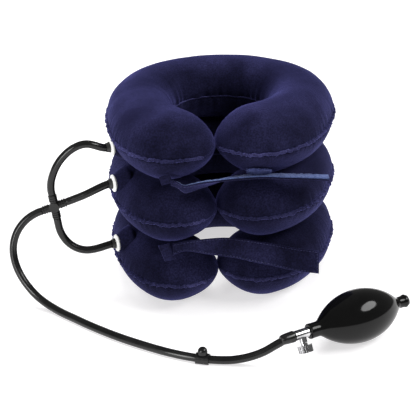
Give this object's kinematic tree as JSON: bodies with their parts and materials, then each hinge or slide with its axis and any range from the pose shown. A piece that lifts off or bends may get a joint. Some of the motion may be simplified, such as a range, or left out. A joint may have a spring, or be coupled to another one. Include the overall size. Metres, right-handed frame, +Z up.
{
  "type": "cervical traction collar",
  "caption": "Inflatable neck traction collar: stacked C-shaped velour air cushions with closing straps, port hoses, a cross connector, a long hose, a release valve and a squeeze bulb.",
  "frame": {"origin": "on the floor, at the middle of the footprint of the collar and the pump, hoses left out", "axes": "+Z up along the neck, -Y to the front, where the rings open, +X to the wearer's left"},
  "size_m": [0.403, 0.3476, 0.2032],
  "materials": {
    "velour": "short navy velour pile",
    "bladder_rubber": "smooth",
    "white_plastic": "satin moulded",
    "grey_rubber": "satin",
    "loop_pile": "fuzzy loop pile",
    "hook_tape": "hook tape",
    "hose_rubber": "glossy",
    "black_plastic": "glossy moulded",
    "bulb_rubber": "high gloss",
    "steel": "fine turned",
    "chrome": "polished",
    "seal_rubber": "matt"
  },
  "bodies": {
    "air_line": {"release_valve_body": "chrome", "bulb": "bulb_rubber", "tail_valve": "black_plastic", "main_hose": "hose_rubber", "hose_side_port": "black_plastic", "hose_side_cap": "black_plastic", "screw_o_ring": "seal_rubber"},
    "lower_ring": {"lower_ring_top_panel": "velour", "lower_ring_bottom_panel": "velour", "lower_ring_bladder": "bladder_rubber", "lower_port_flange": "white_plastic", "lower_port_boot": "grey_rubber", "lower_joining_patches": "velour", "lower_strap_tab": "velour", "lower_hook_patch": "hook_tape", "lower_branch_hose": "hose_rubber", "cross_connector": "black_plastic"},
    "middle_ring": {"middle_ring_top_panel": "velour", "middle_ring_bottom_panel": "velour", "middle_ring_bladder": "bladder_rubber", "middle_port_flange": "white_plastic", "middle_port_boot": "grey_rubber", "upper_joining_patches": "velour", "middle_branch_hose": "hose_rubber"},
    "upper_ring": {"upper_ring_top_panel": "velour", "upper_ring_bottom_panel": "velour", "upper_ring_bladder": "bladder_rubber", "upper_port_flange": "white_plastic", "upper_port_boot": "grey_rubber", "upper_strap_tab": "velour", "upper_hook_patch": "hook_tape", "upper_branch_hose": "hose_rubber"},
    "upper_strap": {"upper_strap": "velour", "upper_strap_loop": "loop_pile"},
    "lower_strap": {"lower_strap": "velour", "lower_strap_loop": "loop_pile"},
    "needle": {"release_needle": "steel"},
    "thumb_screw": {"thumb_screw": "chrome"},
    "outlet_ball": {"outlet_ball": "steel"},
    "inlet_ball": {"tail_valve_ball": "steel"}
  },
  "joints": [
    {"name": "lower_ring_inflation", "type": "slide", "parent": "air_line", "child": "lower_ring", "axis": [0, 0, 1], "range_m": [-0.0268, 0], "stiffness_N_per_m": 3000, "deforming": ["lower_ring_top_panel", "lower_ring_bottom_panel", "lower_ring_bladder", "lower_joining_patches", "lower_strap_tab", "lower_hook_patch", "main_hose", "lower_strap", "lower_strap_loop"]},
    {"name": "middle_ring_inflation", "type": "slide", "parent": "lower_ring", "child": "middle_ring", "axis": [0, 0, 1], "range_m": [-0.0354, 0], "deforming": ["middle_ring_top_panel", "middle_ring_bottom_panel", "middle_ring_bladder", "upper_joining_patches", "middle_branch_hose"]},
    {"name": "upper_ring_inflation", "type": "slide", "parent": "lower_ring", "child": "upper_ring", "axis": [0, 0, 1], "range_m": [-0.0562, 0], "deforming": ["upper_ring_top_panel", "upper_ring_bottom_panel", "upper_ring_bladder", "upper_strap_tab", "upper_hook_patch", "upper_branch_hose", "upper_strap", "upper_strap_loop"]},
    {"name": "upper_strap_swing", "type": "hinge", "parent": "upper_ring", "child": "upper_strap", "pos_m": [-0.0806, -0.0738, 0.138], "axis": [0, 0, -1], "range_deg": [0, 110]},
    {"name": "lower_strap_swing", "type": "hinge", "parent": "lower_ring", "child": "lower_strap", "pos_m": [-0.0786, -0.0793, 0.07], "axis": [0, 0, -1], "range_deg": [0, 110]},
    {"name": "needle_travel", "type": "slide", "parent": "air_line", "child": "needle", "axis": [0.2575, -0.4286, -0.866], "range_m": [0, 0.002]},
    {"name": "thumb_screw_turn", "type": "hinge", "parent": "needle", "child": "thumb_screw", "pos_m": [0.04363, -0.15849, 0.026], "axis": [0.2575, -0.4286, -0.866], "range_deg": [0, 720]},
    {"name": "outlet_ball_lift", "type": "slide", "parent": "air_line", "child": "outlet_ball", "axis": [-0.8572, -0.515, 0], "range_m": [0, 0.002]},
    {"name": "inlet_ball_lift", "type": "slide", "parent": "air_line", "child": "inlet_ball", "axis": [-0.8572, -0.515, 0], "range_m": [0, 0.002]}
  ],
  "couplings": [
    {"joint": "middle_ring_inflation", "follows": "lower_ring_inflation", "ratio": 1.3208},
    {"joint": "upper_ring_inflation", "follows": "lower_ring_inflation", "ratio": 2.097},
    {"joint": "needle_travel", "follows": "thumb_screw_turn", "m_per_rad": 0.00015915}
  ]
}
